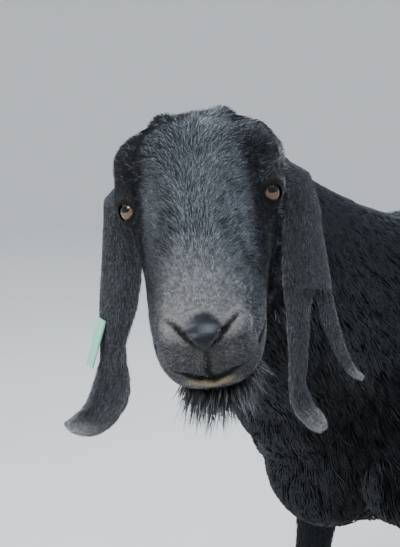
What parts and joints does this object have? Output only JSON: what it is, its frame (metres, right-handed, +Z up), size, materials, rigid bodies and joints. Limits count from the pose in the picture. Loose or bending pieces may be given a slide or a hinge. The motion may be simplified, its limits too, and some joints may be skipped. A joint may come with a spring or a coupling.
{
  "type": "billy goat figure",
  "caption": "Life-size standing billy goat with a black coat, a beard, long hanging ears and its head turned to its left, posed as a still figure.",
  "frame": {"origin": "on the floor, under the middle of the goat's box", "axes": "+Z up, -Y the way the body faces, +X the goat's left side"},
  "size_m": [0.5327, 1.5083, 1.0832],
  "materials": {
    "coat": "matte",
    "ear_hair": "matte",
    "eye": "gloss",
    "horn": "satin",
    "tag": "satin"
  },
  "bodies": {
    "root": {"torso": "coat", "neck": "coat", "head": "coat", "tail": "coat", "ear_left": "ear_hair", "ear_right": "ear_hair", "ear_tag": "tag", "eye_left": "eye", "eye_right": "eye", "foreleg_left": "coat", "foreleg_right": "coat", "hindleg_left": "coat", "hindleg_right": "coat", "hoof_fore_left_inner": "horn", "dewclaw_fore_left_inner": "horn", "hoof_fore_left_outer": "horn", "dewclaw_fore_left_outer": "horn", "hoof_fore_right_inner": "horn", "dewclaw_fore_right_inner": "horn", "hoof_fore_right_outer": "horn", "dewclaw_fore_right_outer": "horn", "hoof_hind_left_inner": "horn", "dewclaw_hind_left_inner": "horn", "hoof_hind_left_outer": "horn", "dewclaw_hind_left_outer": "horn", "hoof_hind_right_inner": "horn", "dewclaw_hind_right_inner": "horn", "hoof_hind_right_outer": "horn", "dewclaw_hind_right_outer": "horn"}
  },
  "joints": []
}
